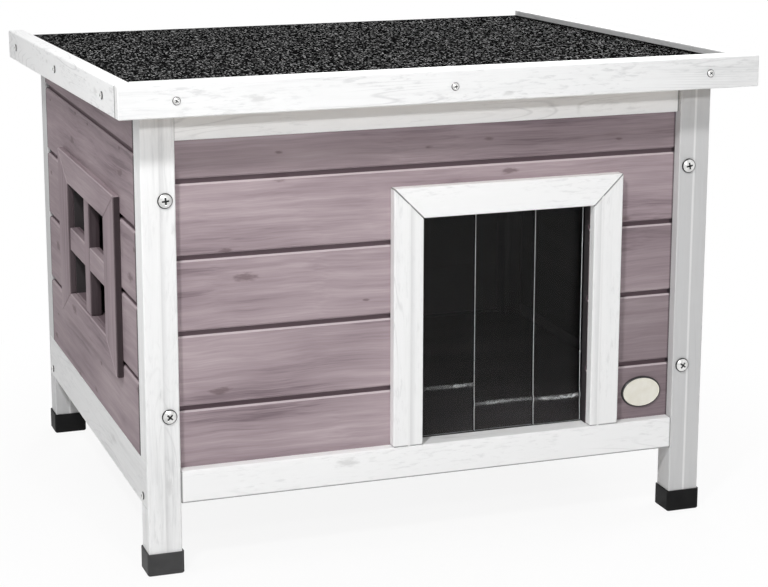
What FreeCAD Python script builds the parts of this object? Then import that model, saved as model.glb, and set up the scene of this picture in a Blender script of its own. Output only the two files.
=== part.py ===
import FreeCAD, Part
import math
import operator
import os
import types

import Sketcher

# Outdoor cat house: grooved boards between four posts, a felted roof hinged at the rear and a
# doorway closed by three clear strips. Millimetres, +Z up, front towards -Y, +X to the right,
# origin on the ground under the middle of the roof.

SIZES = {
    # Overall
    "body_width": 519.0,
    "body_depth": 440.0,
    "front_height": 406.5,
    "roof_fall": 13.8,
    "front_overhang": 39.0,
    "rear_overhang": 31.0,
    "trim_gap": 9.9,
    "arris": 0.8,
    # Posts and the caps under them
    "post_width": 29.0,
    "post_lip": 4.0,
    "groove_depth": 6.0,
    "cap_wall": 1.5,
    "cap_floor": 2.0,
    "cap_height": 19.5,
    "cap_corner": 1.0,
    "cap_sole_bevel": 1.0,
    # Rails
    "rail_bottom": 62.0,
    "rail_height": 28.6,
    "top_rail_height": 33.0,
    "top_rail_recess": 4.5,
    "side_rail_drop": 3.5,
    "side_rail_height": 41.5,
    "side_rail_inset": 4.0,
    # Boards
    "board_thickness": 10.0,
    "board_recess": 10.0,
    "front_top_row": 35.5,
    "front_bottom_row": 51.8,
    "side_top_row": 44.5,
    "board_end_gap": 1.0,
    "face_gap": 4.0,
    "face_bevel": 1.4,
    "tongue_thickness": 3.0,
    "tongue_height": 5.0,
    "tongue_clearance": 0.2,
    # Corner battens and floor
    "corner_batten": 20.0,
    "bearer_depth": 16.0,
    "floor_step": 2.6,
    "floor_thickness": 8.0,
    "floor_clearance": 0.5,
    # Doorway and flap
    "door_pier": 81.7,
    "door_width": 161.1,
    "door_notch": 21.6,
    "door_frame_width": 27.2,
    "flap_thickness": 1.2,
    "flap_side_gap": 2.0,
    "flap_slit": 1.0,
    "flap_sill_gap": 1.6,
    "flap_axis_drop": 3.0,
    "flap_joint_gap": 0.3,
    "left_strip_width": 53.0,
    "middle_strip_width": 56.0,
    "flap_batten_rise": 3.0,
    "flap_batten_height": 26.0,
    "flap_batten_thickness": 14.0,
    "flap_batten_reach": 18.0,
    # Window
    "window_setback": 82.0,
    "window_width": 249.0,
    "window_stile": 45.0,
    "window_rail": 27.5,
    "window_lower_web": 14.5,
    "window_upper_web": 9.5,
    "window_frame_proud": 6.0,
    "bar_width": 22.0,
    "bar_thickness": 10.0,
    "bar_recess": 1.5,
    # Roof
    "roof_gap": 0.3,
    "panel_thickness": 11.0,
    "felt_thickness": 3.0,
    "felt_rear_inset": 3.0,
    "trim_rise": 8.0,
    "trim_drop": 8.0,
    "front_trim": 12.0,
    "side_trim": 15.6,
    "front_strip": 19.0,
    "rear_batten": 20.0,
    "rear_batten_side_gap": 1.5,
    # Hinges
    "hinge_spacing": 280.0,
    "hinge_length": 50.0,
    "leaf_thickness": 1.5,
    "leaf_height": 18.0,
    "leaf_margin": 2.5,
    "knuckle_radius": 3.0,
    "pin_radius": 1.25,
    "pin_clearance": 0.05,
    "hinge_gap": 0.3,
    # Screw holes
    "panel_hole_radius": 2.6,
    "panel_hole_inset": 20.0,
    "panel_hole_rise": 49.4,
    "panel_hole_drop": 81.5,
    "small_hole_radius": 1.7,
    "rail_hole_inset": 17.0,
    "rail_hole_rise": 8.5,
    "trim_hole_inset": 47.5,
    "trim_hole_rear_inset": 36.0,
    "leaf_hole_radius": 1.5,
    "leaf_hole_spacing": 30.0,
}

FRONT_ROWS = 5
SIDE_ROWS = 5
KNUCKLES = 5

doc = FreeCAD.newDocument("cat_house")
sheet = doc.addObject("Spreadsheet::Sheet", "Sizes")
for line, (alias, number) in enumerate(SIZES.items(), start=1):
    sheet.set(f"A{line}", alias)
    sheet.set(f"B{line}", str(number))
    sheet.setAlias(f"B{line}", alias)
doc.recompute()


# Sizes that know the sheet expression they come from

OPERATIONS = {"+": operator.add, "-": operator.sub, "*": operator.mul, "/": operator.truediv}


class Size:
    """A number together with the sheet expression that gives it."""

    def __init__(self, text, value):
        self.text = text
        self.value = value

    def __add__(self, other):
        return combine(self, "+", other)

    def __radd__(self, other):
        return combine(other, "+", self)

    def __sub__(self, other):
        return combine(self, "-", other)

    def __rsub__(self, other):
        return combine(other, "-", self)

    def __mul__(self, other):
        return combine(self, "*", other)

    def __rmul__(self, other):
        return combine(other, "*", self)

    def __truediv__(self, other):
        return combine(self, "/", other)

    def __neg__(self):
        return combine(0, "-", self)


def as_size(number):
    if isinstance(number, Size):
        return number
    return Size(repr(float(number)), float(number))


def combine(left, sign, right):
    left = as_size(left)
    right = as_size(right)
    return Size(f"({left.text} {sign} {right.text})", OPERATIONS[sign](left.value, right.value))


S = types.SimpleNamespace(**{name: Size(f"Sizes.{name}", number) for name, number in SIZES.items()})


def reach(start, way, near, far):
    """Span between two distances from a start, up its axis (way 1) or down it (way -1)."""
    if way > 0:
        return start + near, start + far
    return start - far, start - near


# Places that several pieces share

half_width = S.body_width / 2
wall_inner = half_width - S.board_thickness
post_inner = half_width - S.post_width
post_depth = S.board_recess + S.board_thickness + S.post_lip
front = (S.front_overhang - S.rear_overhang - S.body_depth) / 2
back = front + S.body_depth
front_inner = front + post_depth
back_inner = back - post_depth
board_y = reach(front, 1, S.board_recess, S.board_recess + S.board_thickness)
rear_board_y = reach(back, -1, S.board_recess, S.board_recess + S.board_thickness)
rail_top = S.rail_bottom + S.rail_height
rail_z = (S.rail_bottom, rail_top)
side_rail_bottom = S.rail_bottom - S.side_rail_drop
side_rail_z = (side_rail_bottom, side_rail_bottom + S.side_rail_height)
top_rail_bottom = S.front_height - S.top_rail_height
front_groove_top = top_rail_bottom - S.front_top_row
front_pitch = (front_groove_top - rail_top - S.front_bottom_row) / (FRONT_ROWS - 2)
side_groove_top = S.front_height - S.side_top_row
side_pitch = (side_groove_top - side_rail_z[1]) / (SIDE_ROWS - 1)
floor_top = rail_top - S.floor_step
floor_bottom = floor_top - S.floor_thickness
door_right = post_inner - S.door_pier
door_left = door_right - S.door_width
door_head = front_groove_top - front_pitch + S.door_notch
flap_y = reach(board_y[1], 1, 0, S.flap_thickness)
flap_axis_y = board_y[1] + S.flap_thickness / 2
flap_axis_z = door_head - S.flap_axis_drop
window_y = reach(front, 1, S.window_setback, S.window_setback + S.window_width)
window_hole_y = (window_y[0] + S.window_stile, window_y[1] - S.window_stile)
window_hole_z = (
    side_groove_top - 3 * side_pitch + S.window_lower_web,
    side_groove_top - side_pitch - S.window_upper_web,
)
fall_rate = S.roof_fall / S.body_depth
hinge_y = back + S.knuckle_radius + S.hinge_gap
hinge_z = S.front_height - S.roof_fall - S.leaf_height - S.leaf_margin
seam = S.hinge_gap / 2


def wall_top(y):
    """Height of the sloping wall head at depth y."""
    return S.front_height - fall_rate * (y - front)


def roof_underside(y):
    return wall_top(y) + S.roof_gap


# Building blocks: prisms, recesses, bores, eased edges

PLANES = {"x": ("YZ_Plane", 1), "y": ("XZ_Plane", -1), "z": ("XY_Plane", 1)}
TURNS = {
    "x": FreeCAD.Rotation(FreeCAD.Vector(0, 1, 0), 90),
    "y": FreeCAD.Rotation(FreeCAD.Vector(1, 0, 0), -90),
}
nodes = {}


def node(name, item):
    item.Label = name
    nodes[name] = item
    return item


def group(name, items):
    """Several separate pieces that share one node."""
    compound = doc.addObject("Part::Compound", name)
    compound.Links = items
    return node(name, compound)


def bind(item, **expressions):
    for prop, size in expressions.items():
        item.setExpression(prop.replace("__", "."), as_size(size).text)


def place(item, **coordinates):
    bind(item, **{f"Placement__Base__{axis}": size for axis, size in coordinates.items()})


def rectangle(across, up):
    return [(across[0], up[0]), (across[1], up[0]), (across[1], up[1]), (across[0], up[1])]


def sketch_at(body, axis, level):
    """Empty sketch square to an axis of the body, at the given level along it."""
    role, sign = PLANES[axis]
    plane = next(item for item in body.Origin.OriginFeatures if item.Role == role)
    sketch = body.newObject("Sketcher::SketchObject", f"{body.Name}_sketch")
    sketch.AttachmentSupport = (plane, [""])
    sketch.MapMode = "FlatFace"
    bind(sketch, AttachmentOffset__Base__z=as_size(level) * sign)
    return sketch


def constrain(sketch, kind, size, *where):
    index = sketch.addConstraint(Sketcher.Constraint(kind, *where, size.value))
    sketch.setExpression(f"Constraints[{index}]", size.text)


def draw_outline(sketch, corners):
    corners = [(as_size(across), as_size(up)) for across, up in corners]
    spots = [FreeCAD.Vector(across.value, up.value, 0) for across, up in corners]
    for here, there in zip(spots, spots[1:] + spots[:1]):
        sketch.addGeometry(Part.LineSegment(here, there), False)
    for edge, (across, up) in enumerate(corners):
        following = (edge + 1) % len(corners)
        sketch.addConstraint(Sketcher.Constraint("Coincident", edge, 2, following, 1))
        constrain(sketch, "DistanceX", across, edge, 1)
        constrain(sketch, "DistanceY", up, edge, 1)


def draw_circle(sketch, across, up, radius):
    middle = FreeCAD.Vector(across.value, up.value, 0)
    circle = sketch.addGeometry(Part.Circle(middle, FreeCAD.Vector(0, 0, 1), radius.value), False)
    constrain(sketch, "DistanceX", across, circle, 3)
    constrain(sketch, "DistanceY", up, circle, 3)
    constrain(sketch, "Radius", radius, circle)


def prism(name, axis, corners, span):
    """Body with the given outline, square to an axis and reaching over a span of it."""
    body = doc.addObject("PartDesign::Body", name)
    sketch = sketch_at(body, axis, span[0])
    draw_outline(sketch, corners)
    pad = body.newObject("PartDesign::Pad", f"{name}_pad")
    pad.Profile = sketch
    pad.Reversed = PLANES[axis][1] < 0
    bind(pad, Length=as_size(span[1]) - span[0])
    return body


def sink(body, sketch, axis, span):
    pocket = body.newObject("PartDesign::Pocket", f"{body.Name}_pocket")
    pocket.Profile = sketch
    pocket.Reversed = PLANES[axis][1] > 0
    bind(pocket, Length=span[1] - span[0])


def recess(body, axis, corners, span):
    """Cuts an outline out of the body over a span of the axis."""
    sketch = sketch_at(body, axis, span[0])
    draw_outline(sketch, corners)
    sink(body, sketch, axis, span)


def bores(body, axis, centres, radius, span):
    """Drills round holes at the given centres over a span of the axis."""
    sketch = sketch_at(body, axis, span[0])
    for across, up in centres:
        draw_circle(sketch, across, up, radius)
    sink(body, sketch, axis, span)


def dress(body, kind, edges, **size):
    """Chamfers or fillets some edges of the body."""
    base = body.Tip
    feature = body.newObject(f"PartDesign::{kind}", f"{body.Name}_{kind}")
    feature.Base = (base, edges)
    bind(feature, **size)
    return feature


def ease(body):
    """Takes the sharp arris off every edge made so far."""
    dress(body, "Chamfer", ["Edge1"], Size=S.arris).UseAllEdges = True
    return body


def edges_where(body, test):
    """Names of the edges whose bounding box passes a test."""
    doc.recompute()
    return [f"Edge{count}" for count, edge in enumerate(body.Shape.Edges, start=1) if test(edge.BoundBox)]


def timber(name, x, y, z):
    """Straight length of square timber with eased edges, from its three spans."""
    return ease(prism(name, "z", rectangle(x, y), z))


def block(name, x, y, z):
    """Plain box from its three spans."""
    box = doc.addObject("Part::Box", name)
    bind(box, Length=x[1] - x[0], Width=y[1] - y[0], Height=z[1] - z[0])
    place(box, x=x[0], y=y[0], z=z[0])
    return box


def rod(name, axis, span, radius, **centre):
    """Round bar along x or y over a span; centre holds its other two coordinates."""
    bar = doc.addObject("Part::Cylinder", name)
    bar.Placement = FreeCAD.Placement(FreeCAD.Vector(), TURNS[axis])
    bind(bar, Radius=radius, Height=span[1] - span[0])
    place(bar, **{axis: span[0]}, **centre)
    return bar


def fuse(name, items):
    whole = doc.addObject("Part::MultiFuse", name)
    whole.Shapes = items
    whole.Refine = True
    return whole


def cut(name, base, tool):
    result = doc.addObject("Part::Cut", name)
    result.Base = base
    result.Tool = tool
    return result


# Posts and caps

HANDS = (("left", -1), ("right", 1))
CORNERS = [
    (f"{end}_{hand}", side, face, inward)
    for end, face, inward in (("front", front, 1), ("rear", back, -1))
    for hand, side in HANDS
]
panel_hole_x = half_width - S.panel_hole_inset
panel_hole_z = (rail_top + S.panel_hole_rise, S.front_height - S.panel_hole_drop)


def post(name, side, face, inward):
    """Post with a lap for the side rail, a groove for the boards and two screw holes."""
    y = reach(face, inward, 0, post_depth)
    outline = [(y[0], S.cap_floor), (y[1], S.cap_floor), (y[1], wall_top(y[1])), (y[0], wall_top(y[0]))]
    body = ease(prism(name, "x", outline, reach(0, side, post_inner, half_width)))
    lap_y = reach(face, inward, S.side_rail_inset, post_depth)
    recess(body, "x", rectangle(lap_y, side_rail_z), reach(0, side, wall_inner, half_width))
    groove_y = board_y if inward > 0 else rear_board_y
    groove_x = reach(0, side, post_inner, post_inner + S.groove_depth)
    recess(body, "x", rectangle(groove_y, (rail_top, S.front_height)), groove_x)
    bores(body, "y", [(side * panel_hole_x, z) for z in panel_hole_z], S.panel_hole_radius, y)
    return body


def foot_cap(name, side, face, inward):
    """Moulded cup with rounded corners under a post."""
    x = reach(0, side, post_inner, half_width)
    y = reach(face, inward, 0, post_depth)
    outer_x = (x[0] - S.cap_wall, x[1] + S.cap_wall)
    outer_y = (y[0] - S.cap_wall, y[1] + S.cap_wall)
    body = prism(name, "z", rectangle(outer_x, outer_y), (0, S.cap_height))
    upright = edges_where(body, lambda box: box.ZLength > box.DiagonalLength / 2)
    dress(body, "Fillet", upright, Radius=S.cap_wall + S.cap_corner)
    under = edges_where(body, lambda box: box.ZMax < S.cap_floor.value / 2)
    dress(body, "Chamfer", under, Size=S.cap_sole_bevel)
    recess(body, "z", rectangle(x, y), (S.cap_floor, S.cap_height))
    return body


for corner, side, face, inward in CORNERS:
    node(f"{corner}_post", post(f"{corner}_post", side, face, inward))
group("foot_caps", [foot_cap(f"{corner}_cap", side, face, inward) for corner, side, face, inward in CORNERS])

# Rails

between_posts = (-post_inner, post_inner)
node("front_bottom_rail", timber("front_bottom_rail", between_posts, (front, front_inner), rail_z))
node("rear_bottom_rail", timber("rear_bottom_rail", between_posts, (back_inner, back), rail_z))

top_rail_y = (front + S.top_rail_recess, board_y[1])
top_rail_outline = [
    (top_rail_y[0], top_rail_bottom),
    (top_rail_y[1], top_rail_bottom),
    (top_rail_y[1], wall_top(top_rail_y[1])),
    (top_rail_y[0], wall_top(top_rail_y[0])),
]
node("front_top_rail", ease(prism("front_top_rail", "x", top_rail_outline, between_posts)))
rear_top_rail_y = (rear_board_y[0], back)
rear_top_rail_z = (front_groove_top, hinge_z - seam)
node("rear_top_rail", timber("rear_top_rail", between_posts, rear_top_rail_y, rear_top_rail_z))

side_rail_y = (front + S.side_rail_inset, back - S.side_rail_inset)
rail_hole_z = side_rail_bottom + S.rail_hole_rise
rail_holes = [(front + S.rail_hole_inset, rail_hole_z), (back - S.rail_hole_inset, rail_hole_z)]
for hand, side in HANDS:
    x = reach(0, side, wall_inner, half_width)
    rail = timber(f"{hand}_bottom_rail", x, side_rail_y, side_rail_z)
    bores(rail, "x", rail_holes, S.small_hole_radius, x)
    node(f"{hand}_bottom_rail", rail)

# Boards: tongue on the upper edge, groove in the lower one, bevelled face edges


def board_section(outer, inward, low, high, grooved, tongued):
    """Corners of a board's section, drawn from its outer face inwards."""
    near = (S.board_thickness - S.tongue_thickness) / 2
    far = near + S.tongue_thickness
    slack = S.tongue_clearance
    face_low = low + S.face_gap / 2
    face_high = high - S.face_gap / 2
    corners = [(0, low), (S.board_thickness, low)]
    if grooved:
        ceiling = low + S.tongue_height + slack
        corners = [
            (0, face_low + S.face_bevel),
            (S.face_bevel, face_low),
            (near - slack, face_low),
            (near - slack, ceiling),
            (far + slack, ceiling),
            (far + slack, low + slack),
            (S.board_thickness, low + slack),
        ]
    corners.append((S.board_thickness, high))
    if tongued:
        corners += [
            (far, high),
            (far, high + S.tongue_height),
            (near, high + S.tongue_height),
            (near, face_high),
            (S.face_bevel, face_high),
            (0, face_high - S.face_bevel),
        ]
    else:
        corners.append((0, high))
    return [(outer + inward * depth, height) for depth, height in corners]


def rows_between(head, first_groove, pitch, foot, rows):
    """(low, high) of each row of boards from the top one down."""
    lines = [head] + [first_groove - step * pitch for step in range(rows - 1)] + [foot]
    return list(zip(lines[1:], lines[:-1]))


def board(name, axis, outer, inward, rows, row, span):
    low, high = rows[row]
    section = board_section(outer, inward, low, high, row < len(rows) - 1, row > 0)
    return prism(name, axis, section, span)


front_rows = rows_between(top_rail_bottom, front_groove_top, front_pitch, rail_top, FRONT_ROWS)
board_end = post_inner + S.groove_depth
doorway_z = (rail_top, door_head)
for row in range(2):
    name = f"front_board_{row + 1}"
    whole = board(f"{name}_whole", "x", board_y[0], 1, front_rows, row, (-board_end, board_end))
    doorway = block(f"{name}_doorway", (door_left, door_right), board_y, doorway_z)
    node(name, cut(name, whole, doorway))
for row in range(2, FRONT_ROWS):
    for hand, span in (("left", (-board_end, door_left)), ("right", (door_right, board_end))):
        name = f"front_{hand}_board_{row + 1}"
        node(name, board(name, "x", board_y[0], 1, front_rows, row, span))

rear_rows = front_rows[1:]
rear_boards = []
for row in range(len(rear_rows)):
    name = f"rear_board_{row + 1}"
    rear_boards.append(board(name, "x", rear_board_y[1], -1, rear_rows, row, (-board_end, board_end)))
group("rear_boards", rear_boards)

side_rows = rows_between(S.front_height, side_groove_top, side_pitch, side_rail_z[1], SIDE_ROWS)
side_board_y = (front_inner + S.board_end_gap, back_inner - S.board_end_gap)


def side_board(name, side, row):
    """Board of a side wall; the top one is cut to the slope of the roof."""
    body = board(name, "y", side * half_width, -side, side_rows, row, side_board_y)
    if row == 0:
        slope = [(front, S.front_height), (back, wall_top(back)), (back, S.front_height)]
        recess(body, "x", slope, reach(0, side, wall_inner, half_width))
    return body


node("left_board_1", side_board("left_board_1", -1, 0))
for row in range(1, SIDE_ROWS):
    name = f"left_board_{row + 1}"
    whole = side_board(f"{name}_whole", -1, row)
    window = block(f"{name}_window", (-half_width, -wall_inner), window_hole_y, window_hole_z)
    node(name, cut(name, whole, window))
group("right_boards", [side_board(f"right_board_{row + 1}", 1, row) for row in range(SIDE_ROWS)])

# Corner battens and floor

corner_battens = []
for corner, side, face, inward in CORNERS:
    x = reach(0, side, wall_inner - S.corner_batten, wall_inner)
    y = reach(face, inward, post_depth, post_depth + S.corner_batten)
    corner_battens.append(timber(f"{corner}_batten", x, y, (floor_top, wall_top(y[1]))))
group("corner_battens", corner_battens)

floor_x = (S.floor_clearance - wall_inner, wall_inner - S.floor_clearance)
floor_y = (front_inner + S.floor_clearance, back_inner - S.floor_clearance)
node("floor_panel", block("floor_panel", floor_x, floor_y, (floor_bottom, floor_top)))
floor_bearers = []
for end, face, inward in (("front", front_inner, 1), ("rear", back_inner, -1)):
    y = reach(face, inward, 0, S.bearer_depth)
    floor_bearers.append(timber(f"{end}_bearer", (-wall_inner, wall_inner), y, (S.rail_bottom, floor_bottom)))
group("floor_bearers", floor_bearers)

# Door frame: mitred stiles and header standing on the bottom rail

door_frame_y = (front, board_y[0])
frame_left = door_left - S.door_frame_width
frame_right = door_right + S.door_frame_width
frame_head = door_head + S.door_frame_width
for hand, outer, inner in (("left", frame_left, door_left), ("right", frame_right, door_right)):
    stile = [(outer, rail_top), (inner, rail_top), (inner, door_head), (outer, frame_head)]
    node(f"door_{hand}_stile", ease(prism(f"door_{hand}_stile", "y", stile, door_frame_y)))
header = [
    (door_left, door_head),
    (door_right, door_head),
    (frame_right, frame_head),
    (frame_left, frame_head),
]
node("door_header", ease(prism("door_header", "y", header, door_frame_y)))

# Flap: clear strips below a band that a batten clamps to the back of the boards

band_bottom = flap_axis_z + S.flap_thickness / 2 + S.flap_joint_gap
batten_z = reach(band_bottom, 1, S.flap_batten_rise, S.flap_batten_rise + S.flap_batten_height)
batten_x = (door_left - S.flap_batten_reach, door_right + S.flap_batten_reach)
batten_y = reach(flap_y[1], 1, 0, S.flap_batten_thickness)
node("flap_batten", timber("flap_batten", batten_x, batten_y, batten_z))
node("flap_top_band", block("flap_top_band", batten_x, flap_y, (band_bottom, batten_z[1])))

strip_left = door_left + S.flap_side_gap
strip_right = door_right - S.flap_side_gap
first_slit = strip_left + S.left_strip_width
second_slit = first_slit + S.flap_slit + S.middle_strip_width
STRIPS = (
    ("flap_left_strip", (strip_left, first_slit)),
    ("flap_middle_strip", (first_slit + S.flap_slit, second_slit)),
    ("flap_right_strip", (second_slit + S.flap_slit, strip_right)),
)
for name, x in STRIPS:
    flat = block(f"{name}_flat", x, flap_y, (rail_top + S.flap_sill_gap, flap_axis_z))
    rounded_top = rod(f"{name}_top", "x", x, S.flap_thickness / 2, y=flap_axis_y, z=flap_axis_z)
    node(name, fuse(name, [flat, rounded_top]))

# Window in the left wall: mitred frame and two bars halved into each other

frame_x = reach(-half_width, -1, 0, S.window_frame_proud)
frame_z = (window_hole_z[0] - S.window_rail, window_hole_z[1] + S.window_rail)
for end, outer, inner in zip(("front", "rear"), window_y, window_hole_y):
    stile = [(outer, frame_z[0]), (inner, window_hole_z[0]), (inner, window_hole_z[1]), (outer, frame_z[1])]
    node(f"window_{end}_stile", ease(prism(f"window_{end}_stile", "x", stile, frame_x)))
for end, outer, inner in zip(("bottom", "top"), frame_z, window_hole_z):
    rail = [(window_y[0], outer), (window_y[1], outer), (window_hole_y[1], inner), (window_hole_y[0], inner)]
    node(f"window_{end}_rail", ease(prism(f"window_{end}_rail", "x", rail, frame_x)))

bar_x = reach(frame_x[0], 1, S.bar_recess, S.bar_recess + S.bar_thickness)
bar_middle_x = (bar_x[0] + bar_x[1]) / 2
bar_middle_y = (window_hole_y[0] + window_hole_y[1]) / 2
bar_middle_z = (window_hole_z[0] + window_hole_z[1]) / 2
mullion_y = (bar_middle_y - S.bar_width / 2, bar_middle_y + S.bar_width / 2)
transom_z = (bar_middle_z - S.bar_width / 2, bar_middle_z + S.bar_width / 2)
crossing = rectangle(mullion_y, transom_z)
mullion = timber("window_mullion", bar_x, mullion_y, window_hole_z)
recess(mullion, "x", crossing, (bar_middle_x, bar_x[1]))
node("window_mullion", mullion)
transom = timber("window_transom", bar_x, window_hole_y, transom_z)
recess(transom, "x", crossing, (bar_x[0], bar_middle_x))
node("window_transom", transom)

# Roof: pieces drawn level, with y from the front posts' face and z from the panel's underside

half_panel = half_width + S.trim_gap
half_roof = half_panel + S.side_trim
panel_x = (-half_panel, half_panel)
roof_front = -S.front_overhang
roof_rear = S.body_depth + S.rear_overhang
trim_back = roof_front + S.front_trim
strip_back = trim_back + S.front_strip
felt_rear = roof_rear - S.felt_rear_inset
panel_rear = felt_rear - S.felt_thickness
felt_top = S.panel_thickness + S.felt_thickness
trim_top = S.panel_thickness + S.trim_rise
trim_z = (-S.trim_drop, trim_top)
trim_hole_z = S.panel_thickness / 2


def roof_node(name, body):
    """Sets a piece that was drawn level on the slope of the roof."""
    tilt = FreeCAD.Rotation(FreeCAD.Vector(-1, 0, 0), math.degrees(math.atan(fall_rate.value)))
    body.Placement = FreeCAD.Placement(FreeCAD.Vector(), tilt)
    body.setExpression("Placement.Rotation.Angle", f"atan({fall_rate.text})")
    place(body, y=front, z=S.front_height + S.roof_gap)
    return node(name, body)


panel_outline = rectangle(panel_x, (trim_back, panel_rear))
roof_node("roof_panel", prism("roof_panel", "z", panel_outline, (0, S.panel_thickness)))
front_trim_x = (-half_roof, half_roof)
front_trim_y = (roof_front, trim_back)
front_trim = timber("roof_front_trim", front_trim_x, front_trim_y, trim_z)
front_hole_x = half_roof - S.trim_hole_inset
front_holes = [(step * front_hole_x, trim_hole_z) for step in (-1, 0, 1)]
bores(front_trim, "y", front_holes, S.small_hole_radius, front_trim_y)
roof_node("roof_front_trim", front_trim)
side_hole_ends = (trim_back + S.trim_hole_inset, panel_rear - S.trim_hole_rear_inset)
side_hole_y = (side_hole_ends[0], (side_hole_ends[0] + side_hole_ends[1]) / 2, side_hole_ends[1])
side_holes = [(y, trim_hole_z) for y in side_hole_y]
for hand, side in HANDS:
    x = reach(0, side, half_panel, half_roof)
    trim = timber(f"roof_{hand}_trim", x, (trim_back, roof_rear), trim_z)
    bores(trim, "x", side_holes, S.small_hole_radius, x)
    roof_node(f"roof_{hand}_trim", trim)
front_strip = timber("roof_front_strip", panel_x, (trim_back, strip_back), (S.panel_thickness, trim_top))
roof_node("roof_front_strip", front_strip)
felt_section = [
    (strip_back, S.panel_thickness),
    (panel_rear, S.panel_thickness),
    (panel_rear, 0),
    (felt_rear, 0),
    (felt_rear, felt_top),
    (strip_back, felt_top),
]
roof_node("roof_felt", prism("roof_felt", "x", felt_section, panel_x))

rear_batten_y = reach(back, -1, 0, S.rear_batten)
rear_batten_section = [
    (rear_batten_y[0], hinge_z + seam),
    (rear_batten_y[1], hinge_z + seam),
    (rear_batten_y[1], roof_underside(rear_batten_y[1])),
    (rear_batten_y[0], roof_underside(rear_batten_y[0])),
]
rear_batten_end = post_inner - S.rear_batten_side_gap
rear_batten = prism("roof_rear_batten", "x", rear_batten_section, (-rear_batten_end, rear_batten_end))
node("roof_rear_batten", ease(rear_batten))

# Hinges: leaves flat on the rear faces, knuckles taking turns along a pin

leaf_y = reach(back, 1, 0, S.leaf_thickness)
plate_near = S.knuckle_radius + S.hinge_gap
leaf_hole_rise = (plate_near + S.leaf_height) / 2
knuckle_length = S.hinge_length / KNUCKLES


def hinge_span(side):
    """Where the hinge on one side starts and ends along its pin."""
    middle = side * S.hinge_spacing / 2
    return middle - S.hinge_length / 2, middle + S.hinge_length / 2


def leaf(name, side, way, first_knuckle):
    """Leaf above the pin (way 1) or below it (way -1), with every second knuckle."""
    start, end = hinge_span(side)
    pieces = [block(f"{name}_plate", (start, end), leaf_y, reach(hinge_z, way, plate_near, S.leaf_height))]
    for step in range(first_knuckle, KNUCKLES, 2):
        low = start + step * knuckle_length + (seam if step > 0 else 0)
        high = start + (step + 1) * knuckle_length - (seam if step < KNUCKLES - 1 else 0)
        pieces.append(block(f"{name}_tab", (low, high), leaf_y, reach(hinge_z, way, 0, plate_near)))
        pieces.append(rod(f"{name}_knuckle", "x", (low, high), S.knuckle_radius, y=hinge_y, z=hinge_z))
    pin_bore = S.pin_radius + S.pin_clearance
    holes = [rod(f"{name}_bore", "x", (start, end), pin_bore, y=hinge_y, z=hinge_z)]
    for step in (-1, 1):
        hole_x = (start + end) / 2 + step * S.leaf_hole_spacing / 2
        hole_z = hinge_z + way * leaf_hole_rise
        holes.append(rod(f"{name}_hole", "y", leaf_y, S.leaf_hole_radius, x=hole_x, z=hole_z))
    return cut(name, fuse(f"{name}_blank", pieces), fuse(f"{name}_holes", holes))


group("hinge_body_leaves", [leaf(f"{hand}_body_leaf", side, -1, 0) for hand, side in HANDS])
group("hinge_roof_leaves", [leaf(f"{hand}_roof_leaf", side, 1, 1) for hand, side in HANDS])
pins = [rod(f"{hand}_pin", "x", hinge_span(side), S.pin_radius, y=hinge_y, z=hinge_z) for hand, side in HANDS]
group("hinge_pins", pins)

# Checks, then one file per node

doc.recompute()
faults = [item.Name for item in doc.Objects if "Invalid" in item.State or "Error" in item.State]
faults += [name for name, item in nodes.items() if item.Shape.isNull() or not item.Shape.isValid()]
for pocket in doc.findObjects("PartDesign::Pocket"):
    if pocket.Shape.Volume >= pocket.BaseFeature.Shape.Volume:
        faults.append(f"{pocket.Name} cuts nothing")
if faults:
    raise RuntimeError(f"faulty objects: {faults}")

os.makedirs("parts", exist_ok=True)
for name, item in nodes.items():
    item.Shape.exportStep(os.path.join("parts", f"{name}.step"))
print(f"{len(nodes)} nodes")
print(f"roof hinge axis at y {hinge_y.value:.3f}, z {hinge_z.value:.3f}")
print(f"flap axis at y {flap_axis_y.value:.3f}, z {flap_axis_z.value:.3f}")
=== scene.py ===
import math

import bmesh
import bpy
from mathutils import Matrix, Vector


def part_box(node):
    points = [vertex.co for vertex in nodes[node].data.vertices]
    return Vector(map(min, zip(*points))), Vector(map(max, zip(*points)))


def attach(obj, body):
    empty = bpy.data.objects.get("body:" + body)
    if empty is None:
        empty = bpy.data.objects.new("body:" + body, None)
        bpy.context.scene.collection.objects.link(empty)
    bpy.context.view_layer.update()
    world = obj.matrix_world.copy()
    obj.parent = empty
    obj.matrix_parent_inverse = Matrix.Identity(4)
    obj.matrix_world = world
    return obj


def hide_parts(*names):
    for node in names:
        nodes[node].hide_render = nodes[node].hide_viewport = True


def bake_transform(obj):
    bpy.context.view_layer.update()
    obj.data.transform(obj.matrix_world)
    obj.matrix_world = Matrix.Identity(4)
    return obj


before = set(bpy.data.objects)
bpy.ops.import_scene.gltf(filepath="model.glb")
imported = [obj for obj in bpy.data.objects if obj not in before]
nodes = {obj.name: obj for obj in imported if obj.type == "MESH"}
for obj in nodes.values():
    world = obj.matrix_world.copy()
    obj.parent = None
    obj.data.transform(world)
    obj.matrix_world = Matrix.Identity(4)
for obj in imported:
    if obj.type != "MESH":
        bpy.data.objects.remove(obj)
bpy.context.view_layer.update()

scene = bpy.context.scene

# Lengths are in metres and colours in linear light. X runs to the right, Y to the rear and Z up
X, Y, Z = 0, 1, 2
SIDES = (("left", -1), ("right", 1))
ENDS = (("front", -1), ("rear", 1))
OUTWARD = {
    "left": Vector((-1, 0, 0)),
    "right": Vector((1, 0, 0)),
    "front": Vector((0, -1, 0)),
    "rear": Vector((0, 1, 0)),
}

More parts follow.
